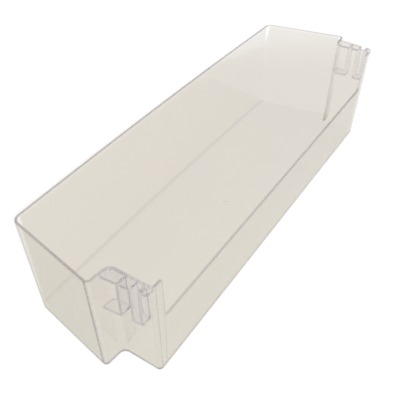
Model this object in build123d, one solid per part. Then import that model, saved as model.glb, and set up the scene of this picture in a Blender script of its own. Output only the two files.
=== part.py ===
from build123d import *
import math
import os

# Fridge door shelf: one clear moulded tray that hangs on two lugs of the door.
# Millimetres. X runs along the length, the tall front faces -Y, the low back faces +Y, Z is up.
# The origin is under the middle of the tray, at the level it rests on.

# overall sizes over the outside at the rim, to the corners before they are rounded
length = 470.0
depth = 140.0
height = 111.6
back_height = 66.0

# plan of the rim: how far each end stands in at the front and at the recess, and the bow of the front
front_inset = 18.0
recess_inset = 21.7
jog_from_front = 97.8
jog_slant = 2.0
front_bow = 2.24
front_flat = 16.0

# how far each wall leans in at its foot
front_lean = 1.0
end_lean = 3.4
jog_lean = 1.2
back_lean = 2.2

# walls and rounds
wall = 2.2
floor_thickness = 2.4
front_round = 8.3
jog_round = 4.2
recess_round = 5.8
back_round = 4.2
foot_round = 2.8
floor_round = 1.6
rim_round = 0.6

# step from the tall corner down to the low back wall
return_length = 11.5
step_lean = 1.8
step_top_round = 2.2
step_foot_round = 5.0

# hanging hooks outside each recess
fin = 2.3
hook_height = 38.4
reach_at_jog = 10.8
reach_at_back = 6.8
lug_slot = 8.6
slot_from_front = 120.0
finger_gap = 5.6
top_plate = 3.0
hook_floor = 2.2
hook_round = 1.0
hook_inner_round = 0.8
corner_plate_round = 5.5

# mark of the moulding gate
gate_from_front = 73.5
gate_width = 6.0
gate_depth = 0.5

front_y = -depth / 2
back_y = depth / 2
half = length / 2
front_half = half - front_inset
recess_half = half - recess_inset
rim_plane = Plane(origin=(0, 0, height))


def rounded(face, corners, radius):
    # a flat face with some of its corners rounded
    for corner in corners:
        face = fillet(face.vertices().sort_by_distance(Vector(*corner))[0], radius)
    return face


def side_walls(face):
    # the two end walls and the two set-back panels behind them
    return abs(face.normal_at().X) > 0.7


def jog_walls(face):
    # the two short walls where the ends step in
    return face.normal_at().Y > 0.7 and abs(face.center().X) > recess_half / 2


def back_wall(face):
    # the long wall towards the door
    return face.normal_at().Y > 0.7 and abs(face.center().X) < recess_half / 2


def front_wall(face):
    # the bow and its two flat ends
    return face.normal_at().Y < -0.7


def upright(edge):
    # an edge that runs from foot to rim
    return abs(edge.tangent_at(0.5).Z) > 0.9


# outline of the rim with sharp corners: the front bows between two short flat ends
bow_half = front_half - front_flat
bow_y = front_y + front_bow
flat_slope = math.tan(2 * math.atan(front_bow / bow_half))
right = [
    (bow_half, bow_y),
    (front_half, bow_y + front_flat * flat_slope),
    (half, front_y + jog_from_front),
    (recess_half, front_y + jog_from_front + jog_slant),
    (recess_half, back_y),
]
left = [(-x, y) for x, y in reversed(right)]
bow = ThreePointArc(left[-1], (0, front_y), right[0])
rim = make_face(Polyline(*right, *left).edges() + bow.edges())

# each wall's lean, and each corner's round from front to back, below zero where the corner turns inwards
leans = [(side_walls, end_lean), (jog_walls, jog_lean), (back_wall, back_lean), (front_wall, front_lean)]
corner_rounds = [front_round, jog_round, -recess_round, back_round]


def tub(inset, foot, top):
    # the rim's outline moved in and drawn from foot to top, with leaning walls and rounded upright corners
    outline = offset(rim, -inset, kind=Kind.INTERSECTION) if inset else rim
    solid = extrude(Pos(0, 0, foot) * outline, top - foot)
    for chosen, lean in leans:
        solid = draft(solid.faces().filter_by(chosen), rim_plane, -math.degrees(math.atan(lean / height)))
    corner_pairs = outline.vertices().group_by(Axis.Y)[1:]
    for pair, corner_round in zip(corner_pairs, corner_rounds):
        uprights = solid.edges().filter_by(upright)
        edges = [uprights.sort_by_distance(Pos(0, 0, height) * corner)[0] for corner in pair]
        solid = fillet(edges, abs(corner_round - inset))
    return solid


# the tray: an outside and a hollow that runs out over the rim
outside = tub(0, 0, height)
outside = fillet(outside.edges().group_by(Axis.Z)[0], foot_round)
hollow = tub(wall, floor_thickness, height + wall)
hollow = fillet(hollow.edges().group_by(Axis.Z)[0], floor_round)

# the opening over the low back wall, drawn on the leaning back with its origin at the rim
step_x = recess_half - return_length
step_drop = height - back_height
step_right = [
    (step_x + step_lean, step_drop),
    (step_x - step_lean, -step_drop),
]
step_points = step_right + [(-x, z) for x, z in reversed(step_right)]
step_face = make_face(Polyline(*step_points, close=True).edges())
step_face = rounded(step_face, step_points[1:3], step_foot_round)
back_tilt = math.degrees(math.atan(back_lean / height))
back_plane = Plane(origin=(0, back_y, height), x_dir=(1, 0, 0), z_dir=(0, -1, 0))
step = extrude(back_plane.rotated((-back_tilt, 0, 0)) * step_face, 3 * wall, both=True)
tray = outside - hollow - step


def at_step_top(edge):
    # the two short edges where the tall corners end
    middle = edge.center()
    return middle.Z > height - 0.01 and abs(abs(middle.X) - step_x) < 0.1 and edge.length < 2 * wall


def on_rim(edge):
    # the long edges along the top of the walls, down the steps and along the low back
    middle = edge.center()
    at_back = middle.Y > back_y - 2 * wall and abs(middle.X) < recess_half - wall
    across = at_back and edge.length < 2 * wall and abs(edge.tangent_at(0.5).Y) > 0.999
    return not across and (middle.Z > height - 0.01 or (at_back and middle.Z > back_height - back_lean))


tray = fillet(tray.edges().filter_by(at_step_top), step_top_round)
tray = fillet(tray.edges().filter_by(on_rim), rim_round)

# hooks of one end, seen from the end: three fins, a plate over the lug slot, small floors and a corner plate
hook_low = height - hook_height
slot_y = front_y + slot_from_front
fin_1 = slot_y - lug_slot / 2 - fin
fin_2 = slot_y + lug_slot / 2
fin_3 = fin_2 + fin + finger_gap
plate_back = back_y - rim_round / 2
strip_start = front_y + jog_from_front - jog_lean - wall
strip_points = [
    (strip_start, hook_low),
    (fin_1 + fin, hook_low),
    (fin_1 + fin, height - top_plate),
    (fin_2, height - top_plate),
    (fin_2, hook_low),
    (fin_3 + fin, hook_low),
    (fin_3 + fin, height - top_plate),
    (plate_back, height - top_plate),
    (plate_back, height),
    (fin_3, height),
    (fin_3, hook_low + hook_floor),
    (fin_2 + fin, hook_low + hook_floor),
    (fin_2 + fin, height),
    (strip_start, height),
    (strip_start, height - top_plate),
    (fin_1, height - top_plate),
    (fin_1, hook_low + hook_floor),
    (strip_start, hook_low + hook_floor),
]
strip = make_face(Polyline(*strip_points, close=True).edges())
strip = rounded(strip, [strip_points[i] for i in (1, 4, 5)], hook_round)
strip = rounded(strip, [strip_points[i] for i in (2, 3, 6, 10, 11, 15, 16)], hook_inner_round)

# the same hooks in plan, reaching less towards the back, with a rounded back corner
jog_x = recess_half + reach_at_jog
back_x = recess_half + reach_at_back
root_x = recess_half - 2 * wall
reach_points = [(root_x, strip_start), (jog_x, strip_start), (back_x, plate_back), (root_x, plate_back)]
reach = make_face(Polyline(*reach_points, close=True).edges())
reach = rounded(reach, reach_points[2:3], corner_plate_round)
end_plane = Plane(origin=(0, 0, 0), x_dir=(0, 1, 0), z_dir=(1, 0, 0))
hooks = extrude(end_plane * strip, half, dir=(1, 0, 0)) & extrude(reach, height, dir=(0, 0, 1))

# they start from the middle of the walls they stand on
hooks = hooks - tub(wall / 2, 0, height)

# the moulding gate leaves a shallow round mark under the floor
gate = Pos(0, front_y + gate_from_front, gate_depth / 2) * Cylinder(gate_width / 2, gate_depth)

shelf = tray + hooks + mirror(hooks, about=Plane.YZ) - gate
os.makedirs("parts", exist_ok=True)
export_step(shelf, "parts/door_shelf.step")
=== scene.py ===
"""Looks of a clear moulded fridge door shelf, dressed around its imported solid.

Metres. X runs along the shelf, the tall front faces -Y, the low back faces +Y, Z is up.
"""

import logging
import math
from collections.abc import Sequence
from dataclasses import dataclass
from enum import Enum

import bpy
from mathutils import Matrix, Vector


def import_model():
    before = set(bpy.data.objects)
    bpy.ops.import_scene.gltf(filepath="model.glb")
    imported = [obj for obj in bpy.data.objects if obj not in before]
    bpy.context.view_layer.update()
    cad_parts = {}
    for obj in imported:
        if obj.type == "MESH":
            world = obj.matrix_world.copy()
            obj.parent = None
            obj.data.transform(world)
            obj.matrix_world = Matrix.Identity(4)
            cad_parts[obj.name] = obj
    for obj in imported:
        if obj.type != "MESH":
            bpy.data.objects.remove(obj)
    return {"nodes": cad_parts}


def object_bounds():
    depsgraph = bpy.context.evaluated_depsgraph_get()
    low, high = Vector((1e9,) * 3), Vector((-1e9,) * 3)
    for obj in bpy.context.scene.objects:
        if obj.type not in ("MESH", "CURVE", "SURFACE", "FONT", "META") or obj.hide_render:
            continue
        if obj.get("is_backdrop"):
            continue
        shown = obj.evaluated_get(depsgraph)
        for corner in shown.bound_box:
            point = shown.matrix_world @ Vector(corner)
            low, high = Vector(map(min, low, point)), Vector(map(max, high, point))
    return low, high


LOG = logging.getLogger("door_shelf")

# sockets of the Mix node for colours, by number, because their names repeat for each type of data
MIX_SHARE, MIX_FIRST, MIX_SECOND, MIX_RESULT = 0, 6, 7, 2

# Light Path counts a ray's turns, and a count above this is one turn or more
ONE_TURN = 0.5

# the power at which a point lamp with constant falloff lights a white floor in the lamp's own colour
PLAIN_POWER = 4.0 * math.pi * math.pi

Colour = tuple[float, float, float]
Place = tuple[float, float, float]
Span = tuple[float, float]
Socket = bpy.types.NodeSocket


class SeenBy(Enum):
    """Kinds of ray that see the white surroundings, by the name of their Light Path output."""

    CAMERA = "Is Camera Ray"
    GLOSSY = "Is Glossy Ray"
    TRANSMISSION = "Is Transmission Ray"


class Zone(Enum):
    """Parts of the shelf that its plastic tells apart, each with its own painted shade."""

    FOOT = "rounds along which the long walls meet the floor"
    HOOKS = "hooks that stand outside the set-back ends"
    RIMS = "rims, where the eye looks down into the length of the walls"
    FIN_ENDS = "narrow outer ends of the hook fins"


@dataclass(frozen=True)
class ShelfBox:
    """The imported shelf's outer box, from whose sides places on the shelf and around it are measured."""

    half: float
    back: float
    top: float

    @classmethod
    def around(cls, corners: Sequence[Sequence[float]]) -> "ShelfBox":
        """Take the box from the high corner of the frame's bounds, which are given as a low and a high
        corner.
        """
        return cls(*corners[1])

    def from_end(self, insets: Span) -> Span:
        """Measure two places along X, inwards from the near end."""
        return self.half - insets[0], self.half - insets[1]

    def from_back(self, insets: Span) -> Span:
        """Measure two places along Y, forwards from the back."""
        return self.back - insets[0], self.back - insets[1]


@dataclass(frozen=True)
class Grain:
    """Soft noise: how fine per metre, how many finer layers, and how fineness differs along X, Y and Z."""

    scale: float
    detail: float
    stretch: Place = (1.0, 1.0, 1.0)


class Nodes:
    """A node tree that is built up by short calls."""

    def __init__(self, tree: bpy.types.NodeTree) -> None:
        """Take over the tree of a material, a world or a lamp, and empty it."""
        self.tree = tree
        tree.nodes.clear()

    def add(self, kind: str, settings: dict[str, object] | None = None, **sockets: object) -> bpy.types.Node:
        """Add one node.

        Args:
            kind: The node's type name.
            settings: Properties of the node itself.
            **sockets: Inputs by name with spaces written as underscores; a socket is linked, a value is set.

        Returns:
            The new node.
        """
        node = self.tree.nodes.new(kind)
        for name, value in (settings or {}).items():
            setattr(node, name, value)
        for name, value in sockets.items():
            self.feed(node.inputs[name.replace("_", " ")], value)
        return node

    def feed(self, socket: Socket, value: object) -> None:
        """Link an output to a socket, or set the socket to a plain value.

        Args:
            socket: The input to feed.
            value: An output socket, a number or a colour.
        """
        if isinstance(value, bpy.types.NodeSocket):
            self.tree.links.new(value, socket)
        elif socket.type == "RGBA":
            socket.default_value = (*value, 1.0)
        else:
            socket.default_value = value

    def maths(self, operation: str, *values: object) -> Socket:
        """Add one Math node.

        Args:
            operation: The node's operation.
            *values: Its inputs in order.

        Returns:
            The node's output.
        """
        node = self.add("ShaderNodeMath", {"operation": operation})
        for socket, value in zip(node.inputs, values):
            self.feed(socket, value)
        return node.outputs[0]

    def overlap(self, *masks: Socket) -> Socket:
        """Find where several masks all hold.

        Args:
            *masks: Sockets from 0 to 1.

        Returns:
            A socket that is 1 where all of them are.
        """
        shared = masks[0]
        for mask in masks[1:]:
            shared = self.maths("MULTIPLY", shared, mask)
        return shared

    def outside(self, mask: Socket) -> Socket:
        """Find where a mask does not hold."""
        return self.maths("SUBTRACT", 1.0, mask)

    def ramp(self, value: Socket, span: Span, levels: Span = (0.0, 1.0)) -> Socket:
        """Ease a value from one level to another.

        Args:
            value: What the ramp follows.
            span: The values at which the ramp leaves its first level and reaches its second.
            levels: The two levels.

        Returns:
            The eased level.
        """
        node = self.add("ShaderNodeMapRange", {"interpolation_type": "SMOOTHSTEP"}, Value=value,
                        From_Min=span[0], From_Max=span[1], To_Min=levels[0], To_Max=levels[1])
        return node.outputs["Result"]

    def blend(self, share: Socket, first: Colour | Socket, second: Colour | Socket) -> Socket:
        """Blend two colours.

        Args:
            share: How much of the second colour shows.
            first: The colour at a share of 0.
            second: The colour at a share of 1.

        Returns:
            The blended colour.
        """
        node = self.add("ShaderNodeMix", {"data_type": "RGBA"})
        for index, value in ((MIX_SHARE, share), (MIX_FIRST, first), (MIX_SECOND, second)):
            self.feed(node.inputs[index], value)
        return node.outputs[MIX_RESULT]

    def axes(self, output: str) -> dict[str, Socket]:
        """Split the Texture Coordinate output of that name into X, Y and Z."""
        split = self.add("ShaderNodeSeparateXYZ", Vector=self.add("ShaderNodeTexCoord").outputs[output])
        return {name: split.outputs[name] for name in "XYZ"}

    def noise(self, grain: Grain) -> Socket:
        """Add soft noise in the object's own space.

        Args:
            grain: How fine the noise is.

        Returns:
            A level around 0.5.
        """
        place = self.add("ShaderNodeTexCoord").outputs["Object"]
        place = self.add("ShaderNodeMapping", Vector=place, Scale=grain.stretch).outputs["Vector"]
        cloud = self.add("ShaderNodeTexNoise", Vector=place, Scale=grain.scale, Detail=grain.detail)
        return cloud.outputs["Fac"]

    def seen(self) -> Socket:
        """Find the rays that see the surroundings as they look.

        Returns:
            A socket that is 1 for the rays of SeenBy, and 0 for rays that carry light to a matt surface.
        """
        path = self.add("ShaderNodeLightPath")
        share = path.outputs[SeenBy.CAMERA.value]
        for ray in (SeenBy.GLOSSY, SeenBy.TRANSMISSION):
            share = self.maths("MAXIMUM", share, path.outputs[ray.value])
        return self.overlap(share, self.maths("LESS_THAN", path.outputs["Diffuse Depth"], ONE_TURN))

    def turned(self) -> Socket:
        """Find the rays that a glossy surface has turned back, which are given painted, dimmer shades of the
        floor and the surroundings.
        """
        return self.maths("GREATER_THAN", self.add("ShaderNodeLightPath").outputs["Glossy Depth"], ONE_TURN)


@dataclass(frozen=True)
class ClearPlastic:
    """Clear moulded plastic, faintly warm, with soft ripples and fine handling marks, and shade painted on
    its feet, hooks, rims and fin ends.
    """

    box: ShelfBox
    name: str = "clear_plastic"

    # the tint, which wanders between two shades, and the shade painted on each zone: darker on the foot
    # rounds, paler and cooler on the hooks, mauve on the rims and dark on the fin ends
    tint: Colour = (0.955, 0.950, 0.932)
    cool_tint: Colour = (0.955, 0.946, 0.940)
    wander: Grain = Grain(9.0, 1.0)
    wander_span: Span = (0.35, 0.65)
    foot_painted_shade: Colour = (0.845, 0.825, 0.845)
    hook_painted_shade: Colour = (0.975, 0.970, 1.000)
    rim_painted_shade: Colour = (0.985, 0.955, 1.000)
    fin_end_painted_shade: Colour = (0.840, 0.820, 0.890)

    # what the plastic does to light inside it
    index: float = 1.5
    depth_tint: Colour = (0.767, 0.747, 0.823)
    depth_density: float = 2.5

    # how rough it is where smooth, where rubbed and along the matt edges
    smooth: float = 0.02
    rubbed: float = 0.09
    matt_edge: float = 0.30
    rubs: Grain = Grain(38.0, 6.0)
    rub_span: Span = (0.45, 0.95)
    scratches: Grain = Grain(60.0, 2.0, (0.25, 6.0, 1.0))
    scratch_span: Span = (0.62, 0.72)
    scratch_depth: float = 0.5

    # soft ripples of the moulding
    ripples: Grain = Grain(22.0, 1.0)
    ripple_strength: float = 0.25
    ripple_height: float = 0.0004

    # the faint edge of the corner posts: its place in from end and back, its height and its softness
    post_inset: float = 0.0342
    post_from_back: Span = (0.0150, 0.0100)
    post_height: float = 0.00007
    post_soft: float = 0.0004

    # the foot rounds: heights over which they start and stop, how steep they are, and how far they face
    # front or back rather than towards an end
    foot_starts: Span = (0.0004, 0.0016)
    foot_stops: Span = (0.0070, 0.0034)
    foot_steep: Span = (0.995, 0.950)
    foot_facing: Span = (0.0, 0.3)

    # the hooks' inner sides, in from the end, the back and the top
    hook_inset: float = 0.0204
    hook_from_back: float = 0.0400
    hook_drop: float = 0.0391

    # how far the rims face up and the fin ends face out, and the height over which the rims start
    rim_facing: Span = (0.3, 0.7)
    rim_starts: Span = (0.050, 0.055)
    fin_facing: Span = (0.7, 0.9)

    def foot(self, nodes: Nodes) -> Socket:
        """Find the rounds along which the long walls meet the floor, which get a painted darker shade.

        Args:
            nodes: The material's tree.

        Returns:
            A socket that is 1 on those rounds.
        """
        place, way = nodes.axes("Object"), nodes.axes("Normal")
        along, across, up = (nodes.maths("ABSOLUTE", way[name]) for name in "XYZ")
        return nodes.overlap(
            nodes.ramp(place["Z"], self.foot_starts),
            nodes.ramp(place["Z"], self.foot_stops),
            nodes.ramp(up, self.foot_steep),
            nodes.ramp(nodes.maths("SUBTRACT", across, along), self.foot_facing),
        )

    def hooks(self, nodes: Nodes) -> Socket:
        """Find the hooks that stand outside the set-back ends, which get a painted paler, cooler shade.

        Args:
            nodes: The material's tree.

        Returns:
            A socket that is 1 on the hooks.
        """
        place = nodes.axes("Object")
        out = nodes.maths("ABSOLUTE", place["X"])
        return nodes.overlap(
            nodes.maths("GREATER_THAN", out, self.box.half - self.hook_inset),
            nodes.maths("GREATER_THAN", place["Y"], self.box.back - self.hook_from_back),
            nodes.maths("GREATER_THAN", place["Z"], self.box.top - self.hook_drop),
        )

    def rims(self, nodes: Nodes, hooks: Socket) -> Socket:
        """Find the rims, where the eye looks down into the length of the walls, and which get a painted
        mauve shade.

        Args:
            nodes: The material's tree.
            hooks: The mask of the hooks, which are left out.

        Returns:
            A socket that is 1 on the rims.
        """
        facing = nodes.ramp(nodes.axes("Normal")["Z"], self.rim_facing)
        high = nodes.ramp(nodes.axes("Object")["Z"], self.rim_starts)
        return nodes.overlap(facing, high, nodes.outside(hooks))

    def fin_ends(self, nodes: Nodes, hooks: Socket) -> Socket:
        """Find the narrow outer ends of the hook fins, among the hooks of the given mask; they get painted
        dark lines.
        """
        out = nodes.maths("ABSOLUTE", nodes.axes("Normal")["X"])
        return nodes.overlap(hooks, nodes.ramp(out, self.fin_facing))

    def zones(self, nodes: Nodes) -> dict[Zone, Socket]:
        """Find the zones that get painted shade, and the matt edges.

        Args:
            nodes: The material's tree.

        Returns:
            For each zone a socket that is 1 there, in the order in which they are painted.
        """
        hooks = self.hooks(nodes)
        return {
            Zone.FOOT: self.foot(nodes),
            Zone.HOOKS: hooks,
            Zone.RIMS: self.rims(nodes, hooks),
            Zone.FIN_ENDS: self.fin_ends(nodes, hooks),
        }

    def colour(self, nodes: Nodes, zones: dict[Zone, Socket]) -> Socket:
        """Paint the tint, which wanders a little, with shade painted on feet, hooks, rims and fin ends.

        Args:
            nodes: The material's tree.
            zones: The mask of each zone.

        Returns:
            The colour's socket.
        """
        painted_shades = {
            Zone.FOOT: self.foot_painted_shade,
            Zone.HOOKS: self.hook_painted_shade,
            Zone.RIMS: self.rim_painted_shade,
            Zone.FIN_ENDS: self.fin_end_painted_shade,
        }
        wander = nodes.ramp(nodes.noise(self.wander), self.wander_span)
        shade = nodes.blend(wander, self.tint, self.cool_tint)
        # lay each zone's painted shade over the tint
        for zone, mask in zones.items():
            shade = nodes.blend(mask, shade, painted_shades[zone])
        return shade

    def roughness(self, nodes: Nodes, zones: dict[Zone, Socket]) -> Socket:
        """Vary the gloss: mostly clear, duller where hands and bottles rubbed, matt on rims and fin ends.

        Args:
            nodes: The material's tree.
            zones: The mask of each zone.

        Returns:
            The roughness socket.
        """
        scratches = nodes.ramp(nodes.noise(self.scratches), self.scratch_span, (0.0, self.scratch_depth))
        marks = nodes.maths("ADD", nodes.noise(self.rubs), scratches)
        walls = nodes.ramp(marks, self.rub_span, (self.smooth, self.rubbed))
        edges = nodes.maths("ADD", zones[Zone.RIMS], zones[Zone.FIN_ENDS])
        return nodes.maths("MAXIMUM", walls, nodes.maths("MULTIPLY", edges, self.matt_edge))

    def relief(self, nodes: Nodes) -> Socket:
        """Raise the soft ripples of the moulding and the faint edge of the corner posts.

        Args:
            nodes: The material's tree.

        Returns:
            The normal's socket.
        """
        place = nodes.axes("Object")
        ripple = nodes.add("ShaderNodeBump", Strength=self.ripple_strength, Distance=self.ripple_height,
                           Height=nodes.noise(self.ripples))
        edge = self.box.from_end((self.post_inset + self.post_soft, self.post_inset - self.post_soft))
        post = nodes.overlap(nodes.ramp(nodes.maths("ABSOLUTE", place["X"]), edge),
                             nodes.ramp(place["Y"], self.box.from_back(self.post_from_back)))
        raised = nodes.add("ShaderNodeBump", Strength=1.0, Distance=self.post_height, Height=post,
                           Normal=ripple.outputs[0])
        return raised.outputs[0]

    def material(self) -> bpy.types.Material:
        """Build the material.

        Returns:
            A refracting material with its marks, relief and depth colour.
        """
        made = bpy.data.materials.new(self.name)
        made.use_nodes = True
        nodes = Nodes(made.node_tree)
        zones = self.zones(nodes)
        shader = nodes.add("ShaderNodeBsdfPrincipled", Base_Color=self.colour(nodes, zones), IOR=self.index,
                           Roughness=self.roughness(nodes, zones), Transmission_Weight=1.0,
                           Normal=self.relief(nodes))
        depth = nodes.add("ShaderNodeVolumeAbsorption", Color=self.depth_tint, Density=self.depth_density)
        nodes.add("ShaderNodeOutputMaterial", Surface=shader.outputs[0], Volume=depth.outputs[0])
        return made


@dataclass(frozen=True)
class PaleFloor:
    """The white sheet that the shelf stands on. It keeps the shelf's shadow, and glows with a painted lift
    that is graded by place into painted light and shade.
    """

    box: ShelfBox
    name: str = "pale_floor"
    colour: Colour = (0.48, 0.48, 0.48)

    # the painted glow seen straight through the shelf, painted paler far off: by the near end, along the
    # middle and far off, with the insets from the near end over which one turns into the next, the last
    # along a slant across the floor
    lift: Colour = (0.630, 0.607, 0.550)
    mid_lift: Colour = (0.640, 0.614, 0.578)
    far_painted_light: Colour = (0.735, 0.720, 0.705)
    mid_insets: Span = (0.134, 0.454)
    far_insets: Span = (0.584, 0.774)
    far_slant: float = 0.6

    # the painted glow seen by reflection: in general, then painted shade before the near end, painted light
    # before the far end, painted shade in the near recess, and painted shadow under the shelf and under its
    # back
    turned_painted_glow: Colour = (0.375, 0.340, 0.215)
    turned_painted_near_shade: Colour = (0.280, 0.247, 0.115)
    turned_painted_far_light: Colour = (0.550, 0.530, 0.500)
    turned_painted_recess_shade: Colour = (0.400, 0.372, 0.285)
    turned_painted_under_shadow: Colour = (0.430, 0.387, 0.335)
    turned_painted_back_shadow: Colour = (0.520, 0.480, 0.440)

    # insets from the end over which those painted shades start
    near_insets: Span = (0.0740, 0.0340)
    recess_insets: Span = (0.0222, 0.0102)
    far_end_insets: Span = (0.0290, 0.0190)

    # insets from the back: from the painted near shade to the recess, past the back, and to the painted
    # shadow under the back
    jog_insets: Span = (0.0500, 0.0350)
    beside_insets: Span = (-0.0060, 0.0060)
    under_back_insets: Span = (0.0200, 0.0120)

    # the shelf's plan at its foot: insets from end and back, slant of the ends, recess in from end and back
    plan_inset: float = 0.0077
    plan_from_back: float = 0.0015
    plan_slant: float = 0.184
    plan_soft: float = 0.002
    recess_inset: float = 0.0242
    recess_from_back: float = 0.0415
    jog_soft: float = 0.001

    def under(self, nodes: Nodes) -> Socket:
        """Find the floor that the shelf stands over, where reflected rays see a painted shadow: a long plan
        with slanting ends and recesses behind.

        Args:
            nodes: The material's tree.

        Returns:
            A socket that is 1 under the shelf.
        """
        place = nodes.axes("Object")
        out, across = (nodes.maths("ABSOLUTE", place[name]) for name in "XY")
        slanting = nodes.maths("SUBTRACT", out, nodes.maths("MULTIPLY", place["Y"], self.plan_slant))
        ends = self.box.from_end((self.plan_inset, self.plan_inset + self.plan_soft))
        sides = self.box.from_back((self.plan_from_back, self.plan_from_back + self.plan_soft))
        panel = self.box.from_end((self.recess_inset + self.plan_soft, self.recess_inset))
        jog = self.box.from_back((self.recess_from_back + self.jog_soft, self.recess_from_back))
        recess = nodes.overlap(nodes.ramp(out, panel), nodes.ramp(place["Y"], jog))
        return nodes.overlap(nodes.ramp(slanting, ends), nodes.ramp(across, sides), nodes.outside(recess))

    def straight_painted_glow(self, nodes: Nodes) -> Socket:
        """Grade the painted glow that is seen straight through the shelf, painted paler far off.

        Args:
            nodes: The material's tree.

        Returns:
            The colour's socket.
        """
        place = nodes.axes("Object")
        middle = nodes.ramp(place["X"], self.box.from_end(self.mid_insets))
        slanting = nodes.maths("ADD", place["X"], nodes.maths("MULTIPLY", place["Y"], self.far_slant))
        away = nodes.ramp(slanting, self.box.from_end(self.far_insets))
        return nodes.blend(away, nodes.blend(middle, self.lift, self.mid_lift), self.far_painted_light)

    def reflected_painted_shade(self, nodes: Nodes) -> Socket:
        """Grade the painted glow that is seen by reflection: painted shade deeper before the near end, in
        the recess and under the shelf, painted light paler before the far one.

        Args:
            nodes: The material's tree.

        Returns:
            The colour's socket.
        """
        place = nodes.axes("Object")
        farther = nodes.maths("MULTIPLY", place["X"], -1.0)
        behind = nodes.ramp(place["Y"], self.box.from_back(self.jog_insets))
        beside = nodes.ramp(place["Y"], self.box.from_back(self.beside_insets))
        near = nodes.overlap(nodes.ramp(place["X"], self.box.from_end(self.near_insets)),
                             nodes.outside(behind))
        recess = nodes.overlap(nodes.ramp(place["X"], self.box.from_end(self.recess_insets)),
                               behind, beside)
        far = nodes.overlap(nodes.ramp(farther, self.box.from_end(self.far_end_insets)), beside)
        # painted shade before the near end and in the recess, painted light before the far end
        shade = nodes.blend(near, self.turned_painted_glow, self.turned_painted_near_shade)
        shade = nodes.blend(recess, shade, self.turned_painted_recess_shade)
        shade = nodes.blend(far, shade, self.turned_painted_far_light)
        # painted shadow under the shelf and under its back
        under_back = nodes.ramp(place["Y"], self.box.from_back(self.under_back_insets))
        covered_painted_shadow = nodes.blend(under_back, self.turned_painted_under_shadow, self.turned_painted_back_shadow)
        return nodes.blend(self.under(nodes), shade, covered_painted_shadow)

    def material(self) -> bpy.types.Material:
        """Build the material.

        Returns:
            A matt surface with a painted glow for the rays that see it, graded by place into painted light
            and shade.
        """
        made = bpy.data.materials.new(self.name)
        made.use_nodes = True
        nodes = Nodes(made.node_tree)
        matt = nodes.add("ShaderNodeBsdfDiffuse", Color=self.colour)
        # the painted glow: straight rays see it paler far off, reflected rays see painted shade and light by
        # place
        shade = nodes.blend(nodes.turned(), self.straight_painted_glow(nodes), self.reflected_painted_shade(nodes))
        lift = nodes.add("ShaderNodeEmission", Color=shade, Strength=nodes.seen())
        both = nodes.add("ShaderNodeAddShader")
        nodes.feed(both.inputs[0], matt.outputs[0])
        nodes.feed(both.inputs[1], lift.outputs[0])
        nodes.add("ShaderNodeOutputMaterial", Surface=both.outputs[0])
        return made


@dataclass
class DoorShelf:
    """The shelf itself: one solid, dressed in one finish."""

    solid: bpy.types.Object
    finish: ClearPlastic

    def dress(self) -> bpy.types.Object:
        """Give the solid its finish.

        Returns:
            The dressed object.
        """
        self.solid.data.materials.clear()
        self.solid.data.materials.append(self.finish.material())
        return self.solid


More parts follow.
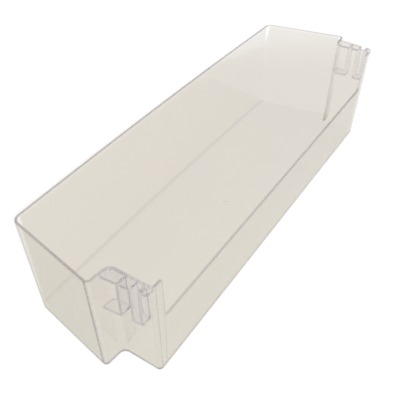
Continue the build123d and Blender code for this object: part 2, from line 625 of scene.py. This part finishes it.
@dataclass
class Studio:
    """White floor, even fill from all round and one key lamp."""

    finish: PaleFloor
    floor_half: float = 30.0
    floor_gap: float = 0.0004

    # the fill that lights the shelf, the white that the eye sees, and the painted dimmer, warmer reflection
    # of it that reflected rays see
    fill: Colour = (0.383, 0.364, 0.326)
    white: Colour = (1.0, 1.0, 1.0)
    turned_painted_reflection: Colour = (0.62, 0.60, 0.54)

    # the key lamp stands by the camera, so that the shelf hides its own shadow there
    key: Colour = (0.450, 0.517, 0.689)
    key_place: Place = (0.41, 0.24, 0.42)
    key_radius: float = 0.014
    key_lowest_slope: float = 0.012

    # how often light may turn inside the walls, and the width in pixels over which the picture is softened
    light_turns: int = 256
    softness: float = 2.0

    def build_floor(self) -> bpy.types.Object:
        """Lay the floor just under the shelf.

        Returns:
            The floor, marked as stage.
        """
        far, low = self.floor_half, -self.floor_gap
        corners = [(-far, -far, low), (far, -far, low), (far, far, low), (-far, far, low)]
        mesh = bpy.data.meshes.new("floor")
        mesh.from_pydata(corners, [], [range(len(corners))])
        mesh.materials.append(self.finish.material())
        floor = bpy.data.objects.new("floor", mesh)
        bpy.context.scene.collection.objects.link(floor)
        floor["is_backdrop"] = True
        return floor

    def build_fill(self) -> bpy.types.World:
        """Surround the shelf with white for the eye, a painted dimmer white for reflected rays, and an even
        warm fill for the light.

        Returns:
            The world.
        """
        world = bpy.data.worlds.new("fill")
        bpy.context.scene.world = world
        world.use_nodes = True
        nodes = Nodes(world.node_tree)
        light = nodes.add("ShaderNodeBackground", Color=self.fill)
        # reflected rays see a painted dimmer, warmer white
        seen_surroundings = nodes.blend(nodes.turned(), self.white, self.turned_painted_reflection)
        sight = nodes.add("ShaderNodeBackground", Color=seen_surroundings)
        mix = nodes.add("ShaderNodeMixShader", Fac=nodes.seen())
        nodes.feed(mix.inputs[1], light.outputs[0])
        nodes.feed(mix.inputs[2], sight.outputs[0])
        nodes.add("ShaderNodeOutputWorld", Surface=mix.outputs[0])
        return world

    def build_key(self) -> bpy.types.Object:
        """Hang the key lamp, which spreads its light evenly over the floor.

        Returns:
            The lamp.
        """
        lamp = bpy.data.lights.new("key", "POINT")
        lamp.energy = PLAIN_POWER
        lamp.shadow_soft_size = self.key_radius
        lamp.use_nodes = True
        nodes = Nodes(lamp.node_tree)
        slope = nodes.maths("ABSOLUTE", nodes.axes("Normal")["Z"])
        even = nodes.maths("DIVIDE", 1.0, nodes.maths("MAXIMUM", slope, self.key_lowest_slope))
        flat = nodes.add("ShaderNodeLightFalloff", Strength=even).outputs["Constant"]
        glow = nodes.add("ShaderNodeEmission", Color=self.key, Strength=flat)
        nodes.add("ShaderNodeOutputLight", Surface=glow.outputs[0])
        key = bpy.data.objects.new("key", lamp)
        key.location = self.key_place
        key.visible_transmission = False
        key.visible_glossy = False
        bpy.context.scene.collection.objects.link(key)
        return key

    def set_light_turns(self) -> None:
        """Let light turn often enough inside the clear walls to come out again, and soften the picture."""
        cycles = bpy.context.scene.cycles
        cycles.max_bounces = cycles.transmission_bounces = cycles.glossy_bounces = self.light_turns
        cycles.blur_glossy = 0.0
        cycles.filter_width = self.softness


@dataclass
class PhotoCamera:
    """The camera, at the place and angle from which the shelf was seen. Angles in degrees, lens in mm."""

    eye: Place = (0.40363, 0.23514, 0.41400)
    azimuth: float = 123.370
    elevation: float = 41.317
    roll: float = -0.366
    lens: float = 50.119
    sensor: float = 36.0
    nearest: float = 0.01

    def build(self) -> bpy.types.Object:
        """Set up the camera and make it the scene's own.

        Returns:
            The camera.
        """
        around, above = math.radians(self.azimuth), math.radians(self.elevation)
        level = math.cos(above)
        back = Vector((math.sin(around) * level, -math.cos(around) * level, math.sin(above)))
        turn = back.to_track_quat("Z", "Y").to_matrix() @ Matrix.Rotation(math.radians(self.roll), 3, "Z")
        camera = bpy.data.objects.new("camera", bpy.data.cameras.new("camera"))
        camera.data.sensor_width = self.sensor
        camera.data.lens = self.lens
        camera.data.clip_start = self.nearest
        camera.matrix_world = Matrix.Translation(self.eye) @ turn.to_4x4()
        bpy.context.scene.collection.objects.link(camera)
        bpy.context.scene.camera = camera
        return camera


def main() -> None:
    """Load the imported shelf, dress it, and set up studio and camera."""
    logging.basicConfig(level=logging.INFO, format="%(name)s: %(message)s")
    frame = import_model()
    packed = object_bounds()
    box = ShelfBox.around(packed)
    shelf = DoorShelf(frame["nodes"]["door_shelf"], ClearPlastic(box)).dress()
    LOG.info("dressed %s", shelf.name)
    studio = Studio(PaleFloor(box))
    studio.set_light_turns()
    for piece in (studio.build_floor(), studio.build_fill(), studio.build_key(), PhotoCamera().build()):
        LOG.info("built %s", piece.name)
    bpy.context.scene.view_settings.view_transform = "Standard"


if __name__ == "__main__":
    main()
